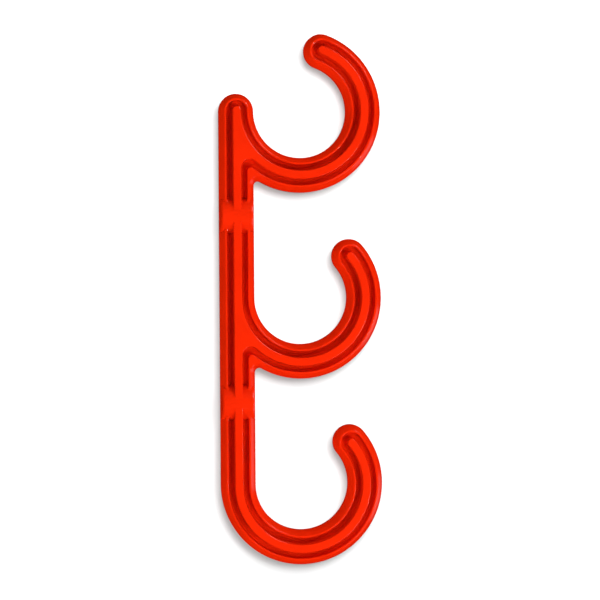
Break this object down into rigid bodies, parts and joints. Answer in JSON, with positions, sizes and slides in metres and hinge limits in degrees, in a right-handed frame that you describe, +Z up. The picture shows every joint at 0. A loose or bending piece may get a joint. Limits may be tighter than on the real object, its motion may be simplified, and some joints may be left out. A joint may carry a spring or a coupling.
{
  "type": "triple hook",
  "caption": "One-piece moulded plastic hook strip: open round hooks one above another on a straight stem that is screwed to a wall through its bosses.",
  "frame": {"origin": "on the back of the stem, midway between the two bosses, at mid-thickness", "axes": "+Z up along the stem, +X out from the wall towards the hooks, Y through the thickness"},
  "size_m": [0.0872, 0.0194, 0.2851],
  "materials": {
    "red_plastic": "semi-gloss, smooth moulded"
  },
  "bodies": {
    "root": {"triple_hook": "red_plastic"}
  },
  "joints": []
}
